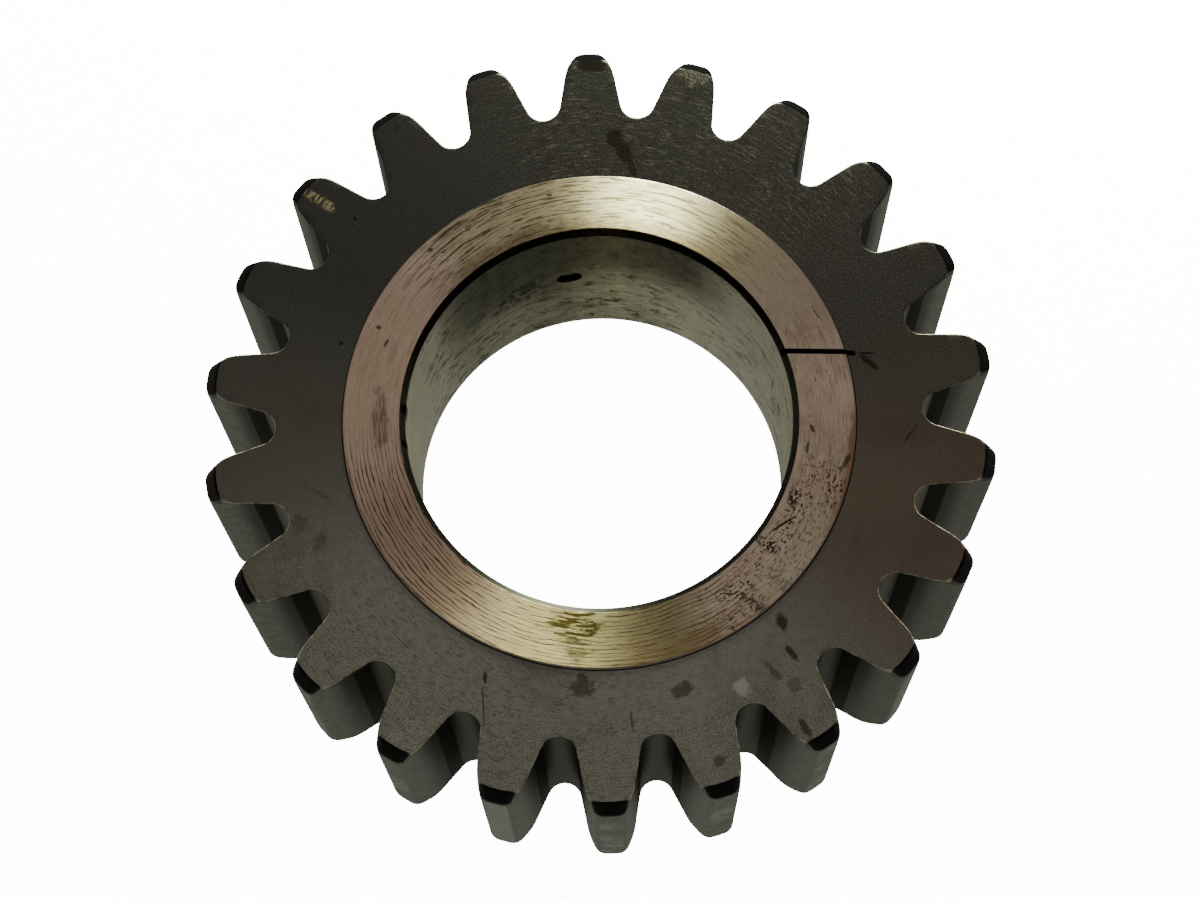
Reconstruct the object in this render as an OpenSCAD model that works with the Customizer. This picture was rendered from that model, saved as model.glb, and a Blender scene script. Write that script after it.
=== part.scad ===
// Straight-cut (spur) gear: a toothed rim with a hub bush pressed into it.
// Axis along Z, origin in the middle of the bore at half width, tooth 1 on +Y.
// The grooved thrust face is the +Z end. Units are millimetres.

/* [Teeth] */
// Number of teeth
tooth_count = 22; // [22:1:40]
// Pitch diameter divided by the number of teeth
gear_module = 6; // [6:0.5:10]
// Pressure angle of the flanks, in degrees
pressure_angle = 14.5; // [14.5:0.5:25]
// Depth of a tooth space below the pitch circle, as a share of the module
dedendum_factor = 1.25; // [1.15:0.01:1.3]
// Radius at the bottom of a tooth space, as a share of the module
root_fillet_factor = 0.53; // [0.3:0.01:0.55]
// Width of the teeth along the axis
face_width = 50; // [30:1:80]
// Turned chamfer on the tooth tips: how far it comes in from the tip circle
tip_chamfer_in = 2; // [0.5:0.1:2.5]
// Turned chamfer on the tooth tips: how far it goes down the tooth
tip_chamfer_down = 2.5; // [0.5:0.1:4]

/* [Hub bush] */
// Outside diameter of the bush, which is also that of its thrust faces
bush_d = 92.6; // [84:0.2:100]
// Bore diameter
bore_d = 70; // [50:0.5:76]
// How far each thrust face stands out from the side of the rim
thrust_face_proud = 0.8; // [0.4:0.1:2]
// Chamfer at each end of the bore: how far it widens the bore
bore_chamfer_out = 1.1; // [0.5:0.1:2]
// Chamfer at each end of the bore: how far it goes down the bore
bore_chamfer_down = 1.5; // [0.5:0.1:3]
// Small chamfer on the edges where rim and bush meet
joint_break = 0.3; // [0.1:0.05:0.35]

/* [Oil ways] */
// Diameter of the radial oil hole
oil_hole_d = 4.5; // [3:0.1:6]
// Centre of the oil hole, measured down from the front side of the rim
oil_hole_down = 22.5; // [10:0.5:25]
// Width of the oil groove across the front thrust face
groove_w = 0.8; // [0.5:0.1:2]
// Depth of the oil groove below the thrust face
groove_depth = 1.2; // [0.5:0.1:2]
// How far the groove's centre line passes from the gear's axis
groove_offset = 12.8; // [0:0.1:20]
// Turn of the groove away from +X, in degrees
groove_turn = -2.4; // [-10:0.1:10]
// How far the groove runs out into the rim, past the bush
groove_run_out = 2.6; // [0:0.1:4]

/* [Hidden] */
$fn = 180;

rim_colour = "#45423c";
bush_colour = "#a3988a";

pitch_r = gear_module * tooth_count / 2;
outer_r = pitch_r + gear_module;
root_r = pitch_r - dedendum_factor * gear_module;
base_r = pitch_r * cos(pressure_angle);
fillet_r = root_fillet_factor * gear_module;
pitch_turn = 360 / tooth_count;

bush_r = bush_d / 2;
bore_r = bore_d / 2;
rim_top = face_width / 2;
bush_top = rim_top + thrust_face_proud;
oil_hole_z = rim_top - oil_hole_down;
groove_end = sqrt(bush_r * bush_r - groove_offset * groove_offset) + groove_run_out;

// Points on each stretch of a tooth's outline, and what cuts pass clear by
flank_steps = 6;
fillet_steps = 6;
clear = 1;

// The flank is an involute from the tip circle down to this radius, and then
// a straight line down to the fillet
involute_end_r = max(base_r + 0.2 * gear_module, root_r + fillet_r + 0.3 * gear_module);

// Angle of a point on the involute at radius r, and the involute function of
// an angle a, both in degrees
function roll(r) = acos(base_r / r);
function involute(a) = tan(a) * 180 / PI - a;

// Half the angle that one tooth and one tooth space take up at radius r
function half_tooth(r) = pitch_turn / 4 + involute(pressure_angle) - involute(roll(r));
function half_space(r) = pitch_turn / 2 - half_tooth(r);

// One flank, seen from a tooth space that points along +Y, from just past the
// tip circle down. The blank's own round surface makes the tips.
flank_top_r = outer_r + 0.05 * gear_module;
function flank_point(i) =
    let (r = flank_top_r + (involute_end_r - flank_top_r) * i / flank_steps, a = half_space(r))
    [r * sin(a), r * cos(a)];

// The fillet is an arc on the middle line of the space. The straight stretch
// of the flank touches it at fillet_start.
fillet_y = root_r + fillet_r;
flank_foot = flank_point(flank_steps) - [0, fillet_y];
fillet_start = atan2(flank_foot[1], flank_foot[0]) - acos(fillet_r / norm(flank_foot));
function fillet_point(i) =
    let (a = fillet_start + (-90 - fillet_start) * i / fillet_steps)
    [fillet_r * cos(a), fillet_y + fillet_r * sin(a)];

// Half of a space's outline, the whole outline, and the outline turned to its place
half_outline = concat(
    [for (i = [0 : flank_steps]) flank_point(i)],
    [for (i = [0 : fillet_steps]) fillet_point(i)]
);
space_outline = concat(
    half_outline,
    [for (i = [len(half_outline) - 2 : -1 : 0]) [-half_outline[i][0], half_outline[i][1]]]
);
function turned(p, a) = [p[0] * cos(a) - p[1] * sin(a), p[0] * sin(a) + p[1] * cos(a)];

// The spaces follow each other counter-clockwise, the way each one's outline runs
module tooth_outline() {
    polygon([
        for (k = [0 : tooth_count - 1])
        for (p = space_outline)
        turned(p, pitch_turn * (k + 0.5))
    ]);
}

// The blank that the teeth are cut from: chamfered tips, and a bore with broken edges
module rim_blank() {
    rotate_extrude()
    polygon([
        [bush_r, -rim_top + joint_break],
        [bush_r + joint_break, -rim_top],
        [outer_r - tip_chamfer_in, -rim_top],
        [outer_r, -rim_top + tip_chamfer_down],
        [outer_r, rim_top - tip_chamfer_down],
        [outer_r - tip_chamfer_in, rim_top],
        [bush_r + joint_break, rim_top],
        [bush_r, rim_top - joint_break]
    ]);
}

// Radial oil hole, from the tooth space left of tooth 1 through to the bore
module oil_hole_cut() {
    rotate([0, 0, pitch_turn / 2])
    translate([0, 0, oil_hole_z])
    rotate([-90, 0, 0])
    cylinder(h = outer_r + clear, d = oil_hole_d);
}

// Straight oil groove, from inside the bore to its run-out in the rim
module oil_groove_cut() {
    rotate([0, 0, groove_turn])
    translate([0, groove_offset - groove_w / 2, bush_top - groove_depth])
    cube([groove_end, groove_w, groove_depth + clear]);
}

module toothed_rim() {
    color(rim_colour)
    difference() {
        intersection() {
            translate([0, 0, -rim_top - clear])
            linear_extrude(height = face_width + 2 * clear)
            tooth_outline();
            rim_blank();
        }
        oil_hole_cut();
        oil_groove_cut();
    }
}

module hub_bush() {
    color(bush_colour)
    difference() {
        rotate_extrude()
        polygon([
            [bore_r, -bush_top + bore_chamfer_down],
            [bore_r + bore_chamfer_out, -bush_top],
            [bush_r - joint_break, -bush_top],
            [bush_r, -bush_top + joint_break],
            [bush_r, bush_top - joint_break],
            [bush_r - joint_break, bush_top],
            [bore_r + bore_chamfer_out, bush_top],
            [bore_r, bush_top - bore_chamfer_down]
        ]);
        oil_hole_cut();
        oil_groove_cut();
    }
}

toothed_rim();
hub_bush();
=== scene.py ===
"""Spur gear, lying on a pale floor: a dark toothed rim with a bright hub bush pressed into it.

Everything is in metres, in the part's own frame: +Z along the gear's axis, tooth 1 on +Y.
"""

import math

import bmesh
import bpy
import numpy as np
from mathutils import Matrix, Vector


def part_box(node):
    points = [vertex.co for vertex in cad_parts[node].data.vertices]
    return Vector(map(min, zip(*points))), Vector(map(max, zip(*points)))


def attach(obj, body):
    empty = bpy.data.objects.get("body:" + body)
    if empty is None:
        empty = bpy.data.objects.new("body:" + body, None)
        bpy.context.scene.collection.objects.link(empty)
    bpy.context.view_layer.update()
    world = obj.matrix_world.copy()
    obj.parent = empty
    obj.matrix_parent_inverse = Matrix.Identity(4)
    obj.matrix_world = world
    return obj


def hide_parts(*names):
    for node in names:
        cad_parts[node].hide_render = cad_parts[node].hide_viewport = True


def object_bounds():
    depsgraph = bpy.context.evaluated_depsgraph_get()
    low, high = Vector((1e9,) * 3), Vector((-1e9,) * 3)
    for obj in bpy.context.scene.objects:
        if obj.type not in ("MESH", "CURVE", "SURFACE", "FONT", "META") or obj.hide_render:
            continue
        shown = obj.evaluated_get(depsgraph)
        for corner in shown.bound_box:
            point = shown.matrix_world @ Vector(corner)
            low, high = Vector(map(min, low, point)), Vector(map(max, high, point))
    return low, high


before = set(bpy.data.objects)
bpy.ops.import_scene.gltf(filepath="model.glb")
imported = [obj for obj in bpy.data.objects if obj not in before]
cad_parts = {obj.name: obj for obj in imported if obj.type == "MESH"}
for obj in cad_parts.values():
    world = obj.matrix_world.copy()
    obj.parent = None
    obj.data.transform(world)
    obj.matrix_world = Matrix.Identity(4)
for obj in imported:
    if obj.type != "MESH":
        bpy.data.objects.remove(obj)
cad_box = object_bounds()

# ---------------------------------------------------------------- sizes
MM = 0.001
TEETH = 22
MODULE = 6.0 * MM
PRESSURE_ANGLE = math.radians(14.5)
PITCH_R = MODULE * TEETH / 2
ROOT_R = PITCH_R - 1.25 * MODULE
BASE_R = PITCH_R * math.cos(PRESSURE_ANGLE)
FILLET_R = 0.53 * MODULE
FILLET_Y = ROOT_R + FILLET_R
INVOLUTE_END_R = BASE_R + 0.2 * MODULE
HALF_PITCH = math.pi / TEETH

RIM_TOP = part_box("toothed_rim")[1].z
BUSH_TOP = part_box("hub_bush")[1].z
BUSH_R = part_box("hub_bush")[1].x
OUTER_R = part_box("toothed_rim")[1].y
BORE_R = 35.0 * MM

TIP_CHAMFER_IN = 2.0 * MM
TIP_CHAMFER_DOWN = 2.5 * MM
TIP_CORNER_R = 1.2 * MM
TIP_CORNER_R_AT_SIDE = 2.3 * MM
EDGE_BREAK = 0.3 * MM
BORE_CHAMFER_OUT = 1.1 * MM
BORE_CHAMFER_DOWN = 1.5 * MM
JOINT_BREAK = 0.2 * MM

OIL_HOLE_R_MM = 2.25
OIL_HOLE_MOUTH_R_MM = 2.75
OIL_HOLE_Z = RIM_TOP - 22.5 * MM
OIL_HOLE_ANGLE = math.pi / 2 + HALF_PITCH
GROOVE_W = 0.8 * MM
GROOVE_DEPTH = 1.2 * MM
GROOVE_OFFSET = 12.8 * MM
GROOVE_TURN = math.radians(-2.4)
GROOVE_START = 15.0 * MM
GROOVE_END = math.sqrt(BUSH_R ** 2 - GROOVE_OFFSET ** 2) + 2.6 * MM
GROOVE_TAPER_LENGTH = 3.0 * MM
GROOVE_END_SHARE = 0.3

SMOOTH_ANGLE = math.radians(36)
TIP_STEPS = 3
HOLE_SIDES = 64
BUSH_SIDES = 480
MARK_DEPTH = 0.02 * MM
MARK_FADE = 0.5 * MM
FLOOR_HALF = 4.0
FLOOR_GLOW = 14.0


# ---------------------------------------------------------------- mesh helpers
def new_object(name, verts, faces):
    mesh = bpy.data.meshes.new(name)
    mesh.from_pydata([tuple(v) for v in verts], [], faces)
    mesh.validate()
    obj = bpy.data.objects.new(name, mesh)
    bpy.context.scene.collection.objects.link(obj)
    return obj


def cut(obj, cutter):
    """Takes the cutter's shape out of obj and removes the cutter."""
    tool = obj.modifiers.new("cut", "BOOLEAN")
    tool.operation = "DIFFERENCE"
    tool.solver = "EXACT"
    tool.object = cutter
    bpy.context.view_layer.objects.active = obj
    bpy.ops.object.modifier_apply(modifier=tool.name)
    bpy.data.objects.remove(cutter)


def finish_shading(obj):
    obj.data.shade_smooth()
    obj.data.set_sharp_from_angle(angle=SMOOTH_ANGLE)
    weigh = obj.modifiers.new("weighted_normals", "WEIGHTED_NORMAL")
    weigh.keep_sharp = True


def oil_hole_cutter():
    """A drill along the hole, a little wider where it breaks into the bore."""
    bore = BORE_R / MM
    # distance from the axis and radius, in mm
    profile = [
        (20, 3.1),
        (bore - 0.5, OIL_HOLE_MOUTH_R_MM),
        (bore + 0.35, OIL_HOLE_R_MM),
        (80, OIL_HOLE_R_MM),
    ]
    turn = Matrix.Rotation(OIL_HOLE_ANGLE, 4, "Z")
    sides = HOLE_SIDES
    verts = []
    for x, radius in profile:
        for i in range(sides):
            a = 2 * math.pi * i / sides
            y, z = radius * MM * math.cos(a), OIL_HOLE_Z + radius * MM * math.sin(a)
            verts.append(turn @ Vector((x * MM, y, z)))
    faces = [tuple(range(sides))[::-1]]
    for k in range(len(profile) - 1):
        for i in range(sides):
            j = (i + 1) % sides
            faces.append((k * sides + i, k * sides + j, (k + 1) * sides + j, (k + 1) * sides + i))
    faces.append(tuple(range((len(profile) - 1) * sides, len(profile) * sides)))
    return new_object("oil_hole_cutter", verts, faces)


def oil_groove_cutter():
    """A thin blade along the groove, whose floor rises to the rim's face and whose sides close
    in at the far end."""
    floor = BUSH_TOP - GROOVE_DEPTH
    clear = BUSH_TOP + 2 * MM
    taper_from = GROOVE_END - GROOVE_TAPER_LENGTH
    side = [
        (GROOVE_START, floor),
        (taper_from, floor),
        (GROOVE_END, RIM_TOP + 0.05 * MM),
        (GROOVE_END, clear),
        (GROOVE_START, clear),
    ]
    turn = Matrix.Rotation(GROOVE_TURN, 4, "Z")
    verts = []
    for half_w in (-GROOVE_W / 2, GROOVE_W / 2):
        for x, z in side:
            share = GROOVE_END_SHARE if x > taper_from else 1.0
            verts.append(turn @ Vector((x, GROOVE_OFFSET + half_w * share, z)))
    n = len(side)
    faces = [tuple(range(n)), tuple(range(n, 2 * n))[::-1]]
    faces += [(i, i + n, (i + 1) % n + n, (i + 1) % n) for i in range(n)]
    cutter = new_object("oil_groove_cutter", verts, faces)
    bm = bmesh.new()
    bm.from_mesh(cutter.data)
    bmesh.ops.recalc_face_normals(bm, faces=bm.faces)
    bm.to_mesh(cutter.data)
    bm.free()
    return cutter


# ---------------------------------------------------------------- toothed rim
def roll(r):
    return math.acos(BASE_R / r)


def involute(a):
    return math.tan(a) - a


def half_tooth(r):
    """Half the angle that a tooth takes up at radius r."""
    return HALF_PITCH / 2 + involute(PRESSURE_ANGLE) - involute(roll(r))


def half_profile(tip_r, corner_size):
    """Half of a tooth's outline from the middle of the space to the middle of the tip, as
    (radius, angle from the tooth's middle). It always has the same number of points."""
    foot_a = HALF_PITCH - half_tooth(INVOLUTE_END_R)
    foot = Vector((INVOLUTE_END_R * math.sin(foot_a), INVOLUTE_END_R * math.cos(foot_a)))
    to_foot = foot - Vector((0, FILLET_Y))
    start = math.atan2(to_foot.y, to_foot.x) - math.acos(FILLET_R / to_foot.length)
    points = []
    fillet_steps = 9
    for i in range(fillet_steps + 1):
        t = -math.pi / 2 + (start + math.pi / 2) * i / fillet_steps
        points.append(Vector((FILLET_R * math.cos(t), FILLET_Y + FILLET_R * math.sin(t))))
    end = points[-1]
    points += [end.lerp(foot, k / 3) for k in (1, 2)]
    profile = [(p.length, HALF_PITCH - math.atan2(p.x, p.y)) for p in points]
    corner_r = tip_r - corner_size
    flank_steps = 10
    for i in range(flank_steps + 1):
        r = INVOLUTE_END_R + (corner_r - INVOLUTE_END_R) * i / flank_steps
        profile.append((r, half_tooth(r)))
    tip_a = half_tooth(tip_r)
    for t in (0.2, 0.4, 0.6, 0.8, 1.0):
        # the corner is a quadratic curve from the flank to the tip
        r = (1 - t) ** 2 * corner_r + (1 - (1 - t) ** 2) * tip_r
        corner_end_a = tip_a - corner_size / tip_r
        a = (1 - t) ** 2 * half_tooth(corner_r) + 2 * t * (1 - t) * tip_a + t ** 2 * corner_end_a
        profile.append((r, a))
    last = profile[-1][1]
    profile += [(tip_r, last * (1 - k / TIP_STEPS)) for k in range(1, TIP_STEPS + 1)]
    return profile


def rim_ring(z, tip_r, inset):
    """The whole outline at one height, counter-clockwise, as an array of x, y. The corners of
    the tips get rounder towards the sides."""
    share = max(0.0, (abs(z) - 0.75 * RIM_TOP) / (0.25 * RIM_TOP)) ** 2
    half = half_profile(tip_r, TIP_CORNER_R + (TIP_CORNER_R_AT_SIDE - TIP_CORNER_R) * share)
    ring = []
    for k in range(TEETH):
        middle = math.pi / 2 + 2 * HALF_PITCH * k
        ring += [(r, middle - a) for r, a in half]
        ring += [(r, middle + a) for r, a in half[-2:0:-1]]
    polar = np.array(ring)
    xy = np.stack([polar[:, 0] * np.cos(polar[:, 1]), polar[:, 0] * np.sin(polar[:, 1])], 1)
    along = np.roll(xy, -1, 0) - np.roll(xy, 1, 0)
    along /= np.linalg.norm(along, axis=1)[:, None]
    inward = np.stack([-along[:, 1], along[:, 0]], 1)
    return xy + inset * inward


def rim_levels():
    """Height, tip radius and inset of each ring from the front side down to the middle."""
    def tip_r(z):
        return min(OUTER_R, OUTER_R - TIP_CHAMFER_IN + (RIM_TOP - z) * TIP_CHAMFER_IN / TIP_CHAMFER_DOWN)
    levels = []
    break_steps = 4
    for i in range(break_steps + 1):
        a = math.pi / 2 * i / break_steps
        z = RIM_TOP - EDGE_BREAK * (1 - math.cos(a))
        levels.append((z, tip_r(z), EDGE_BREAK * (1 - math.sin(a))))
    for down in (0.8, 1.5, 2.1):
        z = RIM_TOP - down * MM
        levels.append((z, tip_r(z), 0.0))
    for down, under in ((2.35, 0.14), (2.6, 0.04), (3.0, 0.0)):
        levels.append((RIM_TOP - down * MM, OUTER_R - under * MM, 0.0))
    levels += [(RIM_TOP * share, OUTER_R, 0.0) for share in (0.82, 0.75, 0.5, 0.25, 0.0)]
    return levels


def rim_side_faces(ring_start, half, verts, up):
    """Fills one side of the rim: rows of arcs across each tooth, then rings down to the bush."""
    faces = []
    z = RIM_TOP if up else -RIM_TOP
    count = 2 * half * TEETH
    columns = 2 * TIP_STEPS
    base = []
    for k in range(TEETH):
        start = 2 * half * k
        middle = math.pi / 2 + 2 * HALF_PITCH * k
        previous = None
        for i in range(half - TIP_STEPS + 1):
            ends = [ring_start + (start + i) % count, ring_start + (start + 2 * half - i) % count]
            if i == half - TIP_STEPS:
                row = [ring_start + (start + i + c) % count for c in range(columns + 1)]
            else:
                x, y = verts[ends[0]][0], verts[ends[0]][1]
                r = math.hypot(x, y)
                a = (middle - math.atan2(y, x) + math.pi) % (2 * math.pi) - math.pi
                row = [ends[0]]
                for c in range(1, columns):
                    turn = middle - a * (1 - 2 * c / columns)
                    verts.append((r * math.cos(turn), r * math.sin(turn), z))
                    row.append(len(verts) - 1)
                row.append(ends[1])
            if previous:
                faces += [(previous[c], previous[c + 1], row[c + 1], row[c]) for c in range(columns)]
            else:
                base += row[:-1]
            previous = row
    inner_r = BUSH_R + JOINT_BREAK
    start_r = math.hypot(verts[base[0]][0], verts[base[0]][1])
    circles = [(start_r + (inner_r - start_r) * t, z) for t in (0.25, 0.5, 0.75, 1.0)]
    circles.append((BUSH_R + 0.02 * MM, z - math.copysign(JOINT_BREAK, z)))
    rings = [base]
    for radius, height in circles:
        ring = []
        for i in range(len(base)):
            turn = math.pi / 2 + 2 * HALF_PITCH * (-0.5 + i / columns)
            verts.append((radius * math.cos(turn), radius * math.sin(turn), height))
            ring.append(len(verts) - 1)
        rings.append(ring)
    n = len(base)
    for a, b in zip(rings, rings[1:]):
        faces += [(b[i], b[(i + 1) % n], a[(i + 1) % n], a[i]) for i in range(n)]
    if not up:
        faces = [f[::-1] for f in faces]
    return faces, rings[-1]


def make_rim():
    upper = rim_levels()
    levels = upper + [(-z, tip, inset) for z, tip, inset in reversed(upper[:-1])]
    verts, faces = [], []
    for z, tip, inset in levels:
        verts += [(x, y, z) for x, y in rim_ring(z, tip, inset)]
    count = len(verts) // len(levels)
    for k in range(len(levels) - 1):
        a, b = k * count, (k + 1) * count
        faces += [(a + i, b + i, b + (i + 1) % count, a + (i + 1) % count) for i in range(count)]
    half = count // (2 * TEETH)
    top_faces, top_bore = rim_side_faces(0, half, verts, True)
    low_faces, low_bore = rim_side_faces((len(levels) - 1) * count, half, verts, False)
    n = len(top_bore)
    faces += top_faces + low_faces
    for i in range(n):
        j = (i + 1) % n
        faces.append((top_bore[j], low_bore[j], low_bore[i], top_bore[i]))
    rim = new_object("gear_rim", verts, faces)
    bm = bmesh.new()
    bm.from_mesh(rim.data)
    bmesh.ops.recalc_face_normals(bm, faces=bm.faces)
    bm.to_mesh(rim.data)
    bm.free()
    cut(rim, oil_hole_cutter())
    cut(rim, oil_groove_cutter())
    finish_shading(rim)
    return rim


# ---------------------------------------------------------------- hub bush
def corner(points, k, size, steps=3):
    """Rounds the corner at points[k] of an open outline with a small curve."""
    p0, p1, p2 = (Vector(points[i]) for i in (k - 1, k, k + 1))
    a = p1 + (p0 - p1).normalized() * size
    b = p1 + (p2 - p1).normalized() * size
    out = []
    for i in range(steps + 1):
        t = i / steps
        out.append(tuple((1 - t) ** 2 * a + 2 * t * (1 - t) * p1 + t ** 2 * b))
    return out


def bush_outline():
    """Half section of the bush from the middle of the bore up, over the front face and down to
    the middle of its outside, as (r, z)."""
    corners = [
        (BORE_R, 0.0),
        (BORE_R, BUSH_TOP - BORE_CHAMFER_DOWN),
        (BORE_R + BORE_CHAMFER_OUT, BUSH_TOP),
        (BUSH_R - JOINT_BREAK, BUSH_TOP),
        (BUSH_R, BUSH_TOP - JOINT_BREAK),
        (BUSH_R, 0.0),
    ]
    line = [corners[0]]
    bore_steps = 8
    first = corner(corners, 1, 0.15 * MM)
    line += [(BORE_R, first[0][1] * i / bore_steps) for i in range(1, bore_steps)]
    line += first
    second = corner(corners, 2, 0.12 * MM)
    line += second
    third = corner(corners, 3, 0.08 * MM, 2)
    face_steps = 70
    face = [second[-1][0] + (third[0][0] - second[-1][0]) * i / face_steps for i in range(1, face_steps)]
    line += [(r, BUSH_TOP) for r in face]
    line += third
    line += corner(corners, 4, 0.08 * MM, 2)
    line += [(BUSH_R, BUSH_TOP * 0.5), corners[5]]
    return line


def turning_marks(r, angle):
    """Depth of the lathe and wear marks in a thrust face, from 0 to 1."""
    drift = 2.2 * np.sin(3 * angle + 1.0 + 0.5 * r / MM) + 1.3 * np.sin(7 * angle + 2.0 - 0.9 * r / MM)
    broad = 0.5 + 0.5 * np.sin(r / MM * 2 * np.pi / 0.85 + drift)
    fine = 0.5 + 0.5 * np.sin(r / MM * 2 * np.pi / 0.43 + 1.7 * np.sin(2 * angle + r / MM))
    lower_left = np.exp(-((angle - math.radians(238)) / math.radians(45)) ** 2)
    return (0.2 + 0.8 * lower_left) * (0.7 * broad ** 3 + 0.3 * fine)


def make_bush():
    upper = bush_outline()
    lower = [(r, -z) for r, z in reversed(upper[1:-1])]
    outline = np.array(upper + lower)
    sides = BUSH_SIDES
    angle = 2 * np.pi * np.arange(sides) / sides
    r, a = outline[:, 0][:, None], angle[None, :]
    z = np.repeat(outline[:, 1][:, None], sides, 1)
    inner_r, outer_r = BORE_R + BORE_CHAMFER_OUT, BUSH_R - JOINT_BREAK
    on_face = (np.abs(np.abs(z) - BUSH_TOP) < 1e-7) & (r > inner_r) & (r < outer_r)
    fade = np.clip((outer_r - r) / MARK_FADE, 0, 1) * np.clip((r - inner_r) / MARK_FADE, 0, 1)
    z = z - np.sign(z) * on_face * fade * MARK_DEPTH * turning_marks(r, a)
    verts = np.stack([r * np.cos(a), r * np.sin(a), z], 2).reshape(-1, 3)
    rows = len(outline)
    faces = []
    for i in range(rows):
        j = (i + 1) % rows
        for k in range(sides):
            m = (k + 1) % sides
            faces.append((i * sides + k, i * sides + m, j * sides + m, j * sides + k))
    bush = new_object("gear_bush", verts, faces)
    bm = bmesh.new()
    bm.from_mesh(bush.data)
    bmesh.ops.recalc_face_normals(bm, faces=bm.faces)
    bm.to_mesh(bush.data)
    bm.free()
    cut(bush, oil_hole_cutter())
    cut(bush, oil_groove_cutter())
    finish_shading(bush)
    return bush


# ---------------------------------------------------------------- material helpers
class Graph:
    """A material's nodes, with one short call for each kind used here. Places are in mm, and
    colours are linear red, green and blue."""

    def __init__(self, name):
        self.material = bpy.data.materials.new(name)
        self.material.use_nodes = True
        self.tree = self.material.node_tree
        self.shader = self.tree.nodes["Principled BSDF"]
        place = self.node("ShaderNodeTexCoord")
        scale = self.node("ShaderNodeVectorMath", operation="SCALE")
        self.link(place.outputs["Object"], scale.inputs[0])
        scale.inputs["Scale"].default_value = 1 / MM
        self.place = scale.outputs[0]
        split = self.node("ShaderNodeSeparateXYZ")
        self.link(self.place, split.inputs[0])
        self.x, self.y, self.z = split.outputs
        self.r = self.math("SQRT", self.add(self.times(self.x, self.x), self.times(self.y, self.y)))
        self.angle = self.times(self.math("ARCTAN2", self.y, self.x), 180 / math.pi)
        self.height = self.math("ABSOLUTE", self.z)
        self.ragged = self.minus(self.noise(self.place, 0.45, 5, 0.65), 0.5)
        facing = self.node("ShaderNodeNewGeometry")
        split = self.node("ShaderNodeSeparateXYZ")
        self.link(facing.outputs["True Normal"], split.inputs[0])
        self.tilt = self.math("ABSOLUTE", split.outputs[2])

    def node(self, kind, **settings):
        node = self.tree.nodes.new(kind)
        for key, value in settings.items():
            setattr(node, key, value)
        return node

    def link(self, source, target):
        self.tree.links.new(source, target)

    def put(self, value, target):
        if isinstance(value, (int, float)):
            target.default_value = value
        elif isinstance(value, tuple):
            target.default_value = (*value, 1.0)
        else:
            self.link(value, target)

    def math(self, operation, a, b=0.0, c=0.0):
        node = self.node("ShaderNodeMath", operation=operation)
        for value, target in zip((a, b, c), node.inputs):
            self.put(value, target)
        return node.outputs[0]

    def add(self, a, b):
        return self.math("ADD", a, b)

    def minus(self, a, b):
        return self.math("SUBTRACT", a, b)

    def times(self, *values):
        result = values[0]
        for value in values[1:]:
            result = self.math("MULTIPLY", result, value)
        return result

    def most(self, values):
        result = values[0]
        for value in values[1:]:
            result = self.math("MAXIMUM", result, value)
        return result

    def around(self, across, scale_across, scale_along):
        """Coordinates for marks that run round the axis: fine in `across`, long round the axis."""
        node = self.node("ShaderNodeCombineXYZ")
        self.put(self.times(across, scale_across), node.inputs[0])
        self.put(self.times(self.math("DIVIDE", self.x, self.r), scale_along), node.inputs[1])
        self.put(self.times(self.math("DIVIDE", self.y, self.r), scale_along), node.inputs[2])
        return node.outputs[0]

    def noise(self, place, scale, detail=3.0, roughness=0.55, distortion=0.0):
        node = self.node("ShaderNodeTexNoise")
        self.put(place, node.inputs["Vector"])
        node.inputs["Scale"].default_value = scale
        node.inputs["Detail"].default_value = detail
        node.inputs["Roughness"].default_value = roughness
        node.inputs["Distortion"].default_value = distortion
        return node.outputs[0]

    def span(self, value, low, high, out_low=0.0, out_high=1.0):
        """value from low..high, smoothly, to out_low..out_high"""
        node = self.node("ShaderNodeMapRange", interpolation_type="SMOOTHSTEP")
        for number, target in zip((value, low, high, out_low, out_high), node.inputs):
            self.put(number, target)
        return node.outputs[0]

    def mix(self, share, a, b):
        node = self.node("ShaderNodeMix", data_type="RGBA")
        self.put(share, node.inputs[0])
        self.put(a, node.inputs[6])
        self.put(b, node.inputs[7])
        return node.outputs[2]

    def sector(self, middle, half_width, soft):
        """1 within half_width degrees of the direction `middle`, fading over `soft` degrees."""
        off = self.math("ABSOLUTE", self.math("WRAP", self.minus(self.angle, middle), 180.0, -180.0))
        return self.span(off, half_width + soft, half_width)

    def spot(self, x, y, wide, tall, turn=0.0, ragged=1.0):
        """1 inside a ragged-edged spot on a flat side, centred on x, y, turned by `turn` degrees."""
        dx, dy = self.minus(self.x, x), self.minus(self.y, y)
        ca, sa = math.cos(math.radians(turn)), math.sin(math.radians(turn))
        u = self.times(self.add(self.times(dx, ca), self.times(dy, sa)), 2 / wide)
        v = self.times(self.minus(self.times(dy, ca), self.times(dx, sa)), 2 / tall)
        far = self.math("SQRT", self.add(self.times(u, u), self.times(v, v)))
        return self.span(self.add(far, self.times(self.ragged, ragged * 2)), 1.15, 0.6)

    def spot_in_bore(self, angle, z, wide, tall):
        """1 inside a ragged spot on the bore's wall: degrees and height of its middle, size in mm."""
        off = self.math("WRAP", self.minus(self.angle, angle), 180.0, -180.0)
        u = self.times(off, math.radians(1) * BORE_R / MM * 2 / wide)
        v = self.times(self.minus(self.z, z), 2 / tall)
        far = self.math("SQRT", self.add(self.times(u, u), self.times(v, v)))
        return self.span(self.add(far, self.times(self.ragged, 2.4)), 1.15, 0.6)

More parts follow.
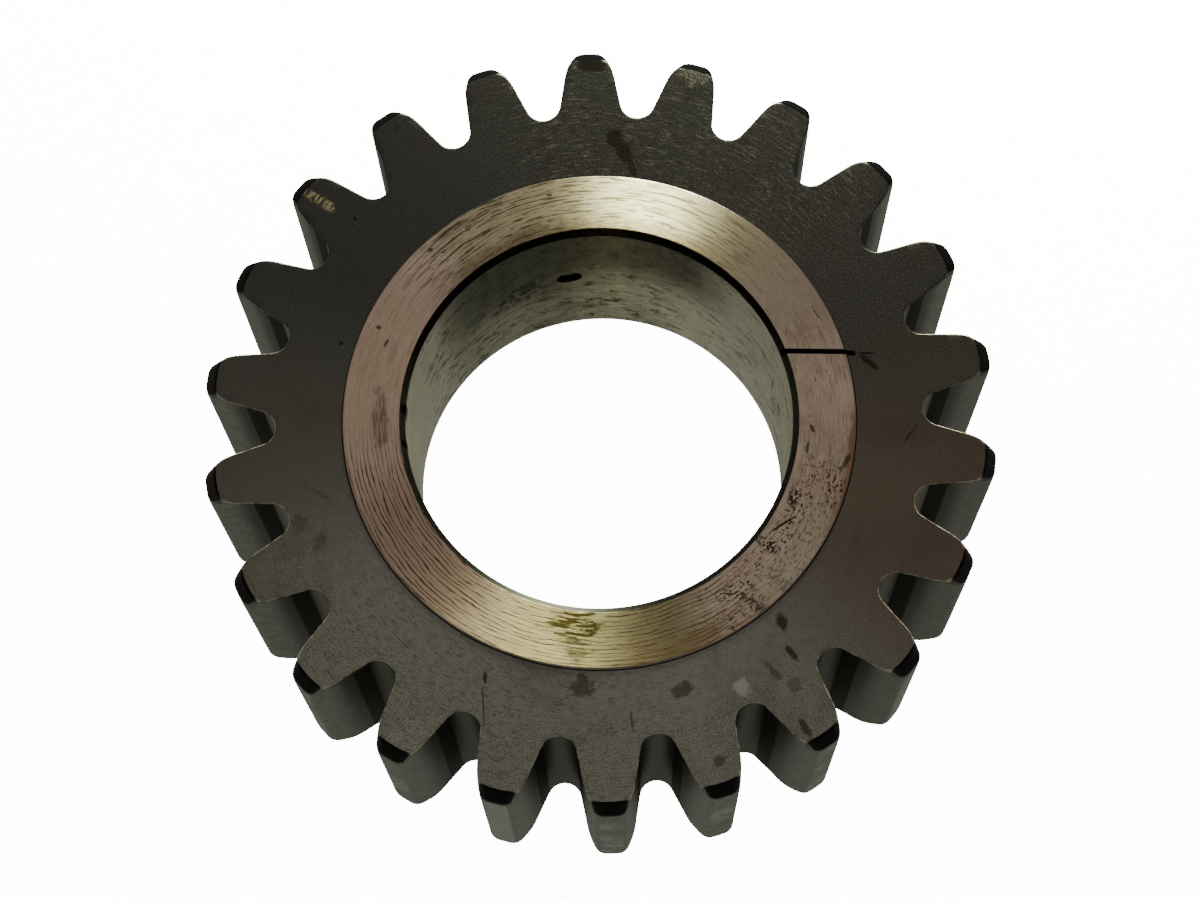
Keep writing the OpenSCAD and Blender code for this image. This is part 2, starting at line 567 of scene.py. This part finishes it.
    def oil_groove(self):
        """1 on the floor and walls of the oil groove."""
        half_w, end, floor = GROOVE_W / MM / 2, GROOVE_END / MM, (BUSH_TOP - GROOVE_DEPTH) / MM
        along_y = self.times(self.y, math.cos(GROOVE_TURN))
        across = self.minus(along_y, self.times(self.x, math.sin(GROOVE_TURN)))
        off = self.math("ABSOLUTE", self.minus(across, GROOVE_OFFSET / MM))
        inside = self.span(off, half_w + 0.14, half_w + 0.04)
        before_end = self.span(self.x, end, end - 0.6)
        above_floor = self.span(self.z, floor - 0.3, floor - 0.1)
        return self.times(inside, self.span(self.x, 10.0, 12.0), before_end, above_floor)

    def bump(self, height, distance, strength=1.0):
        node = self.node("ShaderNodeBump")
        node.inputs["Strength"].default_value = strength
        node.inputs["Distance"].default_value = distance
        self.link(height, node.inputs["Height"])
        return node.outputs[0]

    def turned_surface(self, anisotropy):
        """Spreads highlights across the turning marks, as circular marks do."""
        self.shader.inputs["Anisotropic"].default_value = anisotropy
        self.shader.inputs["Anisotropic Rotation"].default_value = 0.25
        tangent = self.node("ShaderNodeTangent", direction_type="RADIAL", axis="Z")
        self.link(tangent.outputs[0], self.shader.inputs["Tangent"])

    def finish(self, colour, roughness, normal=None, metallic=1.0):
        self.put(colour, self.shader.inputs["Base Color"])
        self.put(roughness, self.shader.inputs["Roughness"])
        self.put(metallic, self.shader.inputs["Metallic"])
        if normal is not None:
            self.link(normal, self.shader.inputs["Normal"])
        return self.material


# Stains and marks on the front side: x, y, width, height (mm), turn (degrees), raggedness, how dark
DARK_MARKS = [
    (4.3, 53.8, 3.4, 4.2, 20, 0.25, 0.75), (5.9, 51.2, 3.0, 6.0, 22, 0.25, 0.75),
    (7.3, 48.2, 1.5, 5.2, 16, 0.25, 0.7), (-4.2, -49.2, 4.8, 3.8, 20, 1.4, 0.6),
    (13.2, -50.2, 4.4, 2.8, 10, 1.4, 0.6), (31.4, -38.4, 2.0, 4.2, 15, 1.0, 0.8),
    (32.8, -44.2, 1.4, 4.0, 35, 0.8, 0.8), (19.3, -63.2, 2.6, 2.4, 0, 1.2, 0.6),
    (34.5, -57.5, 1.3, 5.2, 30, 0.8, 0.7), (-21.4, -47.2, 0.7, 2.4, 0, 1.0, 0.8),
    (-21.8, -52.5, 0.4, 9.0, 2, 0.6, 0.6), (-43.9, 39.6, 0.8, 0.7, 0, 0.8, 0.9),
    (-46.6, 15.6, 0.8, 0.7, 0, 0.8, 0.9), (56.0, -4.6, 0.6, 5.2, -38, 0.6, 0.5),
    (49.2, 9.0, 1.5, 5.0, 48, 0.6, 0.85), (48.8, 10.75, 3.6, 0.55, -2, 0.2, 0.95),
    (-54.0, -18.5, 3.0, 3.6, 30, 1.4, 0.3), (0.1, 65.0, 0.4, 0.4, 0, 0.4, 0.8),
    (-50.0, -13.0, 5.0, 0.7, -35, 0.8, 0.3), (4.2, -55.5, 0.5, 4.0, 5, 0.8, 0.5),
    (-24.0, -39.5, 6.0, 1.2, -30, 1.4, 0.4), (0.3, 68.6, 6.2, 3.4, 0, 0.6, 0.8),
    (-36.0, 57.2, 1.2, 2.2, -30, 1.0, 0.3), (29.6, -47.5, 4.0, 1.6, -50, 1.2, 0.5),
    (33.0, -50.0, 3.0, 3.0, 0, 1.4, 0.35), (-8.5, -62.0, 3.0, 1.6, 0, 1.4, 0.35),
    (-50.6, -21.5, 2.6, 4.6, -15, 1.4, 0.35),
]


def rim_steel():
    """Dark, oily, heat-treated steel with a fine grain and old turning marks, and painted light and shade on
    the front side, the tooth roots, the chamfers and in the groove.
    """
    g = Graph("rim_steel")
    front = g.span(g.z, 0.0, 1.0)
    side = g.span(g.tilt, 0.9, 0.98)
    upright = g.span(g.tilt, 0.12, 0.04)
    land = g.times(upright, g.span(g.r, OUTER_R / MM - 0.25, OUTER_R / MM - 0.05))
    grain = g.noise(g.place, 3.4, 4, 0.75)
    coarse = g.noise(g.place, 0.6, 5, 0.6)
    cloud = g.noise(g.place, 0.045, 4, 0.6, 0.5)
    streak = g.noise(g.around(g.r, 2.6, 12.0), 1.0, 4, 0.7)
    fine_streak = g.noise(g.around(g.r, 4.2, 30.0), 1.0, 4, 0.75)
    low = g.sector(-103, 32, 45)
    high = g.sector(84, 60, 45)
    right = g.sector(0, 30, 40)

    colour = g.mix(g.span(cloud, 0.36, 0.62), (0.086, 0.080, 0.079), (0.082, 0.086, 0.083))
    # painted light and shade: the front side warmer on the right, darker at the top where the key light
    # already falls, lighter at the bottom
    colour = g.mix(g.times(right, 0.8), colour, (0.096, 0.077, 0.069))
    colour = g.mix(g.times(high, 0.9), colour, (0.034, 0.037, 0.041))
    colour = g.mix(g.times(low, g.span(coarse, 0.25, 0.6, 0.6, 1.0)), colour, (0.185, 0.203, 0.190))
    colour = g.mix(g.span(cloud, 0.50, 0.34, 0.0, 0.30), colour, (0.045, 0.042, 0.037))
    toothy = g.span(g.r, 52.0, 60.0, 0.25, 1.0)
    rough_places = g.most([g.times(low, toothy), g.times(g.sector(62, 40, 25), 0.22)])
    rough_zone = g.add(g.times(rough_places, 0.62), 0.06)
    colour = g.mix(g.times(g.span(grain, 0.50, 0.66), rough_zone), colour, (0.28, 0.275, 0.24))
    colour = g.mix(g.times(g.span(grain, 0.49, 0.36), rough_zone), colour, (0.03, 0.029, 0.025))

    # worn turning marks, plainest at the upper right and the lower left
    marked = g.times(g.most([g.sector(72, 24, 18), g.times(g.sector(-112, 26, 20), 0.7)]), side, front)
    light_lines = g.times(g.span(streak, 0.49, 0.60), g.span(fine_streak, 0.50, 0.60))
    light_share = g.add(g.times(marked, 0.55), g.times(side, 0.05))
    colour = g.mix(g.times(light_lines, light_share), colour, (0.19, 0.188, 0.17))
    dark_lines = g.span(fine_streak, 0.47, 0.36)
    dark_share = g.add(g.times(marked, 0.6), g.times(side, 0.14))
    colour = g.mix(g.times(dark_lines, dark_share), colour, (0.022, 0.021, 0.018))

    # flanks: worn grey where the teeth run, with painted shade towards the roots, then a dark band, then the
    # paler fillet
    depth = g.add(g.r, g.times(g.ragged, 0.3))
    flank_colour = g.mix(g.span(coarse, 0.36, 0.66), (0.130, 0.133, 0.116), (0.230, 0.235, 0.205))
    ragged_depth = g.add(g.r, g.times(g.ragged, 5.0))
    # painted shade: flanks darker towards the roots, darkest on the lower teeth, and darker on the right-hand
    # teeth
    flank_colour = g.mix(g.span(ragged_depth, 68.5, 64.2, 0.0, 0.8), flank_colour, (0.034, 0.036, 0.034))
    lower_root_shade = g.times(g.sector(-90, 46, 26), g.span(ragged_depth, 70.5, 66.0))
    flank_colour = g.mix(g.times(lower_root_shade, 0.7), flank_colour, (0.022, 0.024, 0.023))
    flank_colour = g.mix(g.times(g.sector(-22, 22, 14), 0.5), flank_colour, (0.07, 0.066, 0.055))
    dark_band = g.times(g.span(depth, 64.2, 63.7), g.span(depth, 60.3, 60.8))
    fillet_colour = g.mix(g.sector(-90, 40, 30), (0.20, 0.185, 0.155), (0.065, 0.064, 0.056))
    flank_colour = g.mix(g.span(depth, 61.0, 60.4), flank_colour, fillet_colour)
    flank_colour = g.mix(dark_band, flank_colour, (0.012, 0.012, 0.010))
    worn = g.span(g.noise(g.place, 0.07, 2), 0.42, 0.60)
    land_streak = g.span(g.noise(g.around(g.z, 0.8, 18.0), 1.0, 4, 0.7), 0.38, 0.62)
    land_colour = g.mix(land_streak, (0.11, 0.108, 0.094), (0.25, 0.247, 0.215))
    land_colour = g.mix(g.times(worn, g.span(coarse, 0.35, 0.60)), land_colour, (0.44, 0.44, 0.40))
    # painted highlight: the tip land of one lower tooth made bright
    land_colour = g.mix(g.times(g.sector(-106.4, 2.6, 1.0), 0.7), land_colour, (0.52, 0.52, 0.47))
    colour = g.mix(upright, colour, flank_colour)
    colour = g.mix(land, colour, land_colour)

    stains = g.most([g.times(g.spot(*mark[:6]), mark[6]) for mark in DARK_MARKS])
    stains = g.times(stains, front, side)
    colour = g.mix(stains, colour, (0.016, 0.014, 0.012))
    gouge = g.times(g.spot(-50.6, 43.4, 7.5, 2.2, -38, 1.6), g.span(fine_streak, 0.46, 0.58), front, side)
    colour = g.mix(g.times(gouge, 0.8), colour, (0.42, 0.39, 0.22))
    flecks = [g.spot(19.5, 66.0, 6.5, 4.0, -20, 1.4), g.times(g.spot(-2.7, 68.3, 1.0, 0.7, 0), 0.9)]
    flecks.append(g.times(g.spot(-35.0, -57.5, 7.0, 5.0, 30, 1.6), 0.6))
    fleck = g.times(g.most(flecks), g.span(grain, 0.46, 0.60), front, side)
    colour = g.mix(g.times(fleck, 0.5), colour, (0.42, 0.41, 0.37))
    pale = g.times(g.spot(24.0, -50.2, 2.6, 3.0, 0, 1.4), front, side)
    colour = g.mix(g.times(pale, 0.55), colour, (0.34, 0.38, 0.40))

    # chamfers on the tips: painted black as shade, a little less black on the top teeth
    tip_r = (OUTER_R - TIP_CHAMFER_IN) / MM
    sloping = g.times(g.span(g.tilt, 0.995, 0.985), g.span(g.tilt, 0.3, 0.45))
    on_tip = g.times(sloping, g.span(g.r, tip_r - 0.5, tip_r - 0.3))
    colour = g.mix(on_tip, colour, g.mix(g.sector(88, 60, 30), (0.012, 0.0115, 0.011), (0.005, 0.005, 0.006)))
    off_the_joint = g.span(g.r, BUSH_R / MM + 1.0, BUSH_R / MM + 2.0)
    # pale edges along the edge breaks: partly wear, partly painted highlight; kept faint at the top
    edge = g.times(g.span(g.tilt, 0.97, 0.90), g.span(g.tilt, 0.06, 0.2))
    edge = g.times(edge, g.span(g.r, tip_r - 0.3, tip_r - 0.8), off_the_joint)
    edge = g.times(edge, g.span(coarse, 0.35, 0.6, 0.3, 1.0), g.minus(1.0, g.times(high, 0.85)))
    colour = g.mix(edge, colour, (0.50, 0.485, 0.41))
    # painted shade: a thin black ring on the rim's face at the foot of the bush's step
    colour = g.mix(g.span(g.r, BUSH_R / MM + 0.26, BUSH_R / MM + 0.18), colour, (0.005, 0.004, 0.004))

    # painted shade: the oil groove's floor and walls painted black
    colour = g.mix(g.oil_groove(), colour, (0.003, 0.003, 0.003))
    tip_roughness = g.times(on_tip, g.add(0.1, g.times(high, 0.35)))
    roughness = g.add(g.span(grain, 0.25, 0.75, 0.26, 0.38), g.most([tip_roughness, g.times(edge, 0.25)]))
    flank_roughness = g.most([g.times(dark_band, 0.28), g.span(depth, 68.0, 64.0, 0.0, 0.12)])
    roughness = g.add(roughness, g.times(upright, flank_roughness))
    relief = g.times(grain, g.add(0.15, g.times(rough_zone, 0.9)))
    relief = g.add(relief, g.add(g.times(fine_streak, marked, 0.5), g.times(stains, -0.3)))
    return g.finish(colour, roughness, g.bump(relief, 0.05 * MM, 0.6), 1.0)


def bush_steel():
    """Turned and worn steel: bright on the thrust faces, grey-green in the bore, black on the chamfers and in
    the oil groove as painted shade, with painted highlight, shade and reflection tints on parts of the faces
    and the bore.
    """
    g = Graph("bush_steel")
    front = g.span(g.z, 0.0, 1.0)
    on_face = g.span(g.height, BUSH_TOP / MM - 0.1, BUSH_TOP / MM - 0.04)
    in_bore = g.times(g.span(g.r, BORE_R / MM + 0.10, BORE_R / MM + 0.03), g.span(g.tilt, 0.5, 0.2))
    cloud = g.noise(g.place, 0.11, 4, 0.6, 0.3)
    streak = g.noise(g.around(g.r, 2.6, 7.0), 1.0, 4, 0.68)
    fine_streak = g.noise(g.around(g.r, 6.5, 30.0), 1.0, 3, 0.7)

    # thrust faces
    face = g.mix(g.span(cloud, 0.32, 0.68), (0.56, 0.465, 0.385), (0.70, 0.61, 0.52))
    face = g.mix(g.span(streak, 0.50, 0.34, 0.0, 0.55), face, (0.30, 0.235, 0.18))
    face = g.mix(g.span(fine_streak, 0.52, 0.66, 0.0, 0.5), face, (0.86, 0.80, 0.70))
    face = g.mix(g.span(fine_streak, 0.46, 0.34, 0.0, 0.45), face, (0.28, 0.225, 0.18))
    # painted highlight colour: a yellow-green tint on the top of the front face, where the highlight lies
    face = g.mix(g.times(g.sector(88, 28, 24), front, 0.6), face, (0.58, 0.565, 0.36))
    top_streaks = g.times(g.span(streak, 0.50, 0.42), g.sector(92, 34, 24), front)
    face = g.mix(g.times(top_streaks, 0.85), face, (0.085, 0.078, 0.040))
    ruddy = g.times(g.sector(190, 34, 30), front)
    face = g.mix(g.times(ruddy, 0.5), face, (0.74, 0.575, 0.46))
    grey_right = g.times(g.sector(46, 14, 16), g.span(streak, 0.40, 0.56, 0.5, 1.0), front)
    face = g.mix(g.times(grey_right, 0.5), face, (0.30, 0.265, 0.21))
    # painted shade: the lower left of the front face darkened
    low_left_painted_shade = g.times(g.sector(-132, 22, 18), front)
    face = g.mix(g.times(low_left_painted_shade, 0.55), face, (0.27, 0.205, 0.16))
    smudge = g.times(g.spot(-39.4, 1.0, 3.2, 12.0, 0, 0.7), g.span(streak, 0.42, 0.55), front)
    face = g.mix(g.times(smudge, 0.75), face, (0.13, 0.092, 0.066))
    # painted shade and highlight colour: the bottom of the front face darker and yellower
    bottom_painted_shade = g.times(g.sector(-92, 16, 20), front)
    face = g.mix(g.times(bottom_painted_shade, 0.8), face, (0.19, 0.18, 0.085))
    lows = g.most([g.sector(-130, 34, 20), g.times(g.sector(-88, 28, 16), 0.9)])
    wavy = g.add(g.times(g.r, 2 * math.pi / 0.75), g.times(g.noise(g.around(g.r, 0.5, 4.5), 1.0, 3), 14.0))
    wear = g.times(g.span(g.math("SINE", wavy), 0.45, 1.0), g.span(streak, 0.38, 0.52), lows)
    face = g.mix(g.times(wear, 0.95), face, (0.045, 0.032, 0.022))
    patch_streak = g.noise(g.around(g.r, 1.9, 11.0), 1.0, 3, 0.6)
    patch_foot = g.times(g.spot(-5.0, -41.0, 7.5, 8.0, 0, 1.1), 0.7)
    patch = g.most([g.spot(-5.4, -38.2, 11.0, 7.6, 0, 0.9), patch_foot])
    patch = g.times(patch, g.span(patch_streak, 0.44, 0.52, 0.12, 1.0), front)
    face = g.mix(g.times(patch, 0.95), face, (0.024, 0.020, 0.003))
    brown_wear = g.times(g.sector(-68, 12, 10), g.span(g.add(g.r, g.times(g.ragged, 3.0)), 41.0, 43.0))
    brown_wear = g.times(brown_wear, g.span(streak, 0.46, 0.54), front)
    face = g.mix(g.times(brown_wear, 0.5), face, (0.22, 0.15, 0.05))
    top_stain = g.times(g.sector(95, 30, 20), g.span(g.add(g.r, g.times(g.ragged, 5.0)), 39.5, 37.0))
    top_stain = g.times(top_stain, g.span(streak, 0.42, 0.56))
    face = g.mix(g.times(top_stain, front, 0.75), face, (0.16, 0.13, 0.07))
    pit_zone = g.times(g.sector(-38, 20, 10), g.span(g.add(g.r, g.times(g.ragged, 8.0)), 36.5, 39.0), front)
    pits = g.span(g.noise(g.around(g.r, 2.6, 58.0), 1.0, 3, 0.6), 0.54, 0.58)
    pits = g.times(pits, g.span(g.noise(g.place, 0.35, 2), 0.38, 0.48), pit_zone)
    dash_zone = g.most([g.sector(148, 28, 14), g.sector(10, 40, 12), g.times(g.sector(90, 60, 20), 0.5)])
    dashes = g.times(g.span(g.noise(g.around(g.r, 2.2, 16.0), 1.0, 2, 0.5), 0.70, 0.75), dash_zone, front)
    cluster = g.most([g.spot(34.6, -15.8, 3.0, 5.0, -22, 1.2), g.spot(29.4, -24.4, 4.5, 3.0, -42, 1.2),
                      g.spot(31.6, -31.6, 7.5, 2.6, -46, 1.2), g.spot(26.2, -35.2, 6.0, 2.2, -38, 1.2)])
    cluster = g.times(cluster, g.span(g.noise(g.around(g.r, 1.8, 40.0), 1.0, 3, 0.65), 0.47, 0.52), front)
    scratch = g.times(g.spot(32.1, -21.0, 7.0, 0.45, 31, 0.4), front)
    pits = g.most([pits, cluster, scratch])
    face = g.mix(g.times(g.most([pits, dashes]), 0.95), face, (0.018, 0.014, 0.008))
    rust = g.times(g.sector(-16, 12, 6), g.span(g.add(g.r, g.times(g.ragged, 2.5)), 44.8, 45.8), front)
    face = g.mix(g.times(rust, 0.75), face, (0.26, 0.125, 0.045))
    pale = g.times(g.sector(-38, 10, 8), g.span(g.add(g.r, g.times(g.ragged, 4.0)), 40.0, 42.0), front)
    face = g.mix(g.times(pale, 0.5), face, (0.56, 0.54, 0.44))
    marks = [
        (44.2, -9.5, 3.0, 1.3, 62), (-30.1, 32.7, 1.3, 0.8, 30), (-8.0, 42.8, 1.3, 0.6, 10),
        (-39.6, 18.2, 0.9, 0.9, 0), (-38.3, 15.0, 1.6, 0.5, 60), (37.2, -7.1, 0.7, 2.4, -10),
        (38.3, -3.5, 0.8, 1.8, 20),
    ]
    marks = g.times(g.most([g.spot(*mark) for mark in marks]), front)
    face = g.mix(g.times(marks, 0.85), face, (0.075, 0.07, 0.03))

    # bore
    bore_streak = g.noise(g.around(g.z, 0.9, 5.0), 1.0, 5, 0.7)
    bore_fine = g.noise(g.around(g.z, 3.2, 14.0), 1.0, 4, 0.7)
    bore = g.mix(g.span(bore_streak, 0.36, 0.62), (0.31, 0.305, 0.225), (0.56, 0.56, 0.46))
    bore = g.mix(g.span(bore_fine, 0.52, 0.66, 0.0, 0.5), bore, (0.66, 0.66, 0.56))
    bore = g.mix(g.span(bore_fine, 0.46, 0.36, 0.0, 0.5), bore, (0.14, 0.135, 0.09))
    # painted reflection: the bore's left and right walls, seen at a slant, painted lighter
    sides = g.most([g.sector(180, 50, 30), g.sector(0, 50, 30)])
    bore = g.mix(g.times(sides, 0.6), bore, (0.80, 0.80, 0.70))
    brown = g.times(g.sector(92, 30, 25), g.span(g.z, -6.0, 14.0))
    bore = g.mix(g.times(brown, 0.85), bore, (0.088, 0.082, 0.046))
    shaded = g.times(g.sector(118, 14, 22), g.span(g.z, -14.0, 10.0, 0.5, 1.0))
    bore = g.mix(g.times(shaded, 0.85), bore, (0.10, 0.105, 0.062))
    scratched = g.most([g.times(g.sector(60, 34, 25), 0.55), g.times(g.sector(-8, 18, 12), 0.7)])
    scratched = g.most([g.sector(108, 36, 26), scratched])
    smears = g.times(g.span(g.noise(g.around(g.z, 0.42, 7.5), 1.0, 5, 0.85), 0.53, 0.58), scratched)
    bore = g.mix(g.times(smears, 0.85), bore, (0.040, 0.037, 0.017))
    scored = g.span(g.noise(g.place, 0.7, 4, 0.75), 0.54, 0.50)
    scored = g.times(g.spot_in_bore(114, 2.0, 12.0, 9.0), scored)
    bore = g.mix(g.times(scored, 0.95), bore, (0.010, 0.009, 0.004))
    speck = g.spot_in_bore(27, 8.5, 2.2, 3.4)
    bore = g.mix(g.times(speck, 0.6), bore, (0.22, 0.165, 0.08))
    scuffed = g.times(g.spot_in_bore(15, -4.0, 6.0, 14.0), g.span(g.noise(g.place, 1.1, 4, 0.75), 0.52, 0.56))
    scratches = g.most([g.spot_in_bore(20.5, 3.0, 0.7, 7.0), g.spot_in_bore(50, -1.0, 5.0, 0.6), scuffed])
    bore = g.mix(g.times(scratches, 0.8), bore, (0.035, 0.033, 0.018))
    peppered = g.span(g.noise(g.place, 1.3, 3, 0.8), 0.50, 0.58)
    peppered = g.times(peppered, g.sector(90, 26, 16), g.span(g.z, 0.0, 14.0))
    bore = g.mix(g.times(peppered, 0.75), bore, (0.04, 0.037, 0.020))
    chips = g.most([g.spot(-34.8, 2.6, 2.4, 2.6, 0, 0.8), g.spot(-34.8, -3.8, 1.8, 1.7, 0, 0.8)])
    lip = g.span(g.add(g.height, g.times(g.ragged, 1.2)), 24.0, 24.5)
    bore = g.mix(g.times(lip, 0.8), bore, (0.02, 0.018, 0.012))

    chamfer_r = BORE_R / MM + BORE_CHAMFER_OUT / MM
    chamfer = g.span(g.r, chamfer_r + 0.3, chamfer_r + 0.1)
    # painted shade: the bore chamfers painted near black, a little less at the top
    chamfer_colour = g.mix(g.sector(92, 58, 30), (0.055, 0.060, 0.055), (0.008, 0.007, 0.006))
    colour = g.mix(on_face, g.mix(chamfer, (0.45, 0.42, 0.37), chamfer_colour), face)
    colour = g.mix(in_bore, colour, bore)
    chips = g.times(chips, g.span(g.z, 20.6, 21.4))
    # painted shade: the oil groove painted black, together with the chips
    colour = g.mix(g.most([g.oil_groove(), chips]), colour, (0.003, 0.003, 0.003))
    roughness = g.add(g.span(streak, 0.3, 0.7, 0.42, 0.33), g.times(in_bore, -0.04))
    hollows = g.times(g.most([pits, dashes, marks]), -0.25)
    relief = g.add(g.times(fine_streak, 0.5), g.add(g.times(streak, 0.5), hollows))
    relief = g.mix(in_bore, relief, bore_fine)
    g.turned_surface(0.97)
    return g.finish(colour, roughness, g.bump(relief, 0.03 * MM, 0.6), 1.0)


# ---------------------------------------------------------------- the gear
def place_piece(piece, node, material):
    piece.data.materials.clear()
    piece.data.materials.append(material)
    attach(piece, "root")
    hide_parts(node)


place_piece(make_rim(), "toothed_rim", rim_steel())
place_piece(make_bush(), "hub_bush", bush_steel())


# ---------------------------------------------------------------- floor, light and camera
WORLD_ABOVE = (0.55, 0.47, 0.405)
WORLD_HIGH = (0.22, 0.188, 0.16)
WORLD_HORIZON = (0.20, 0.188, 0.172)
WORLD_LOW = (0.46, 0.45, 0.40)
WORLD_BELOW = (0.205, 0.21, 0.175)


def make_floor():
    z = cad_box[0].z
    corners = [(x * FLOOR_HALF, y * FLOOR_HALF, z) for x, y in ((-1, -1), (1, -1), (1, 1), (-1, 1))]
    floor = new_object("floor", corners, [(0, 1, 2, 3)])
    g = Graph("pale_floor")
    g.shader.inputs["Emission Color"].default_value = (1, 1, 1, 1)
    g.shader.inputs["Emission Strength"].default_value = FLOOR_GLOW
    floor.data.materials.append(g.finish((0.9, 0.9, 0.9), 0.8, None, 0.0))
    # a glowing white floor that throws no light of its own on the gear; the world stands in for it
    floor.visible_diffuse = False
    floor.visible_glossy = False


def area_light(name, azimuth, elevation, distance, wide, tall, power, colour):
    """A soft box aimed at the gear from this direction (degrees, azimuth counted from +X)."""
    az, el = math.radians(azimuth), math.radians(elevation)
    toward = Vector((math.cos(el) * math.cos(az), math.cos(el) * math.sin(az), math.sin(el)))
    lamp = bpy.data.lights.new(name, "AREA")
    lamp.shape = "RECTANGLE"
    lamp.size, lamp.size_y = wide, tall
    lamp.energy = power
    lamp.color = colour
    obj = bpy.data.objects.new(name, lamp)
    obj.location = toward * distance
    obj.rotation_euler = (-toward).to_track_quat("-Z", "Y").to_euler()
    bpy.context.scene.collection.objects.link(obj)


def make_lights():
    area_light("key", 80, 26, 0.6, 0.15, 0.25, 9, (1.0, 1.0, 0.66))
    world = bpy.data.worlds.new("studio")
    world.use_nodes = True
    tree = world.node_tree
    place = tree.nodes.new("ShaderNodeTexCoord")
    split = tree.nodes.new("ShaderNodeSeparateXYZ")
    shift = tree.nodes.new("ShaderNodeMapRange")
    shift.inputs["From Min"].default_value = -1.0
    ramp = tree.nodes.new("ShaderNodeValToRGB")
    stops = ramp.color_ramp
    stops.elements[0].position, stops.elements[0].color = 0.0, (*WORLD_BELOW, 1)
    stops.elements[1].position, stops.elements[1].color = 1.0, (*WORLD_ABOVE, 1)
    for position, colour in ((0.06, WORLD_BELOW), (0.32, WORLD_LOW), (0.40, WORLD_LOW), (0.49, WORLD_HORIZON),
                             (0.60, WORLD_HORIZON), (0.92, WORLD_HIGH)):
        stops.elements.new(position).color = (*colour, 1)
    tree.links.new(place.outputs["Generated"], split.inputs[0])
    tree.links.new(split.outputs[2], shift.inputs["Value"])
    tree.links.new(shift.outputs[0], ramp.inputs[0])
    tree.links.new(ramp.outputs[0], tree.nodes["Background"].inputs["Color"])
    bpy.context.scene.world = world


CAMERA_LENS_MM = 91.5
CAMERA_DISTANCE = 0.5487
CAMERA_ELEVATION = math.radians(74.22)
CAMERA_AZIMUTH = math.radians(-0.70)
CAMERA_ROLL = math.radians(2.36)
CAMERA_AIM = Vector((0.0, -6.0 * MM, RIM_TOP))


def make_camera():
    """Looks down on the front side from just short of it, turned by CAMERA_ROLL about its own axis."""
    flat = math.cos(CAMERA_ELEVATION)
    down = math.sin(CAMERA_ELEVATION)
    forward = Vector((flat * math.sin(CAMERA_AZIMUTH), flat * math.cos(CAMERA_AZIMUTH), -down))
    right = forward.cross(Vector((0, 0, 1))).normalized()
    up = right.cross(forward)
    turn = Matrix.Rotation(CAMERA_ROLL, 3, forward)
    right, up = turn @ right, turn @ up
    camera = bpy.data.cameras.new("camera")
    camera.lens = CAMERA_LENS_MM
    camera.clip_start = 0.01
    obj = bpy.data.objects.new("camera", camera)
    basis = Matrix((right, up, -forward)).transposed().to_4x4()
    obj.matrix_world = Matrix.Translation(CAMERA_AIM - forward * CAMERA_DISTANCE) @ basis
    bpy.context.scene.collection.objects.link(obj)
    bpy.context.scene.camera = obj


make_floor()
make_lights()
make_camera()

bpy.context.view_layer.update()
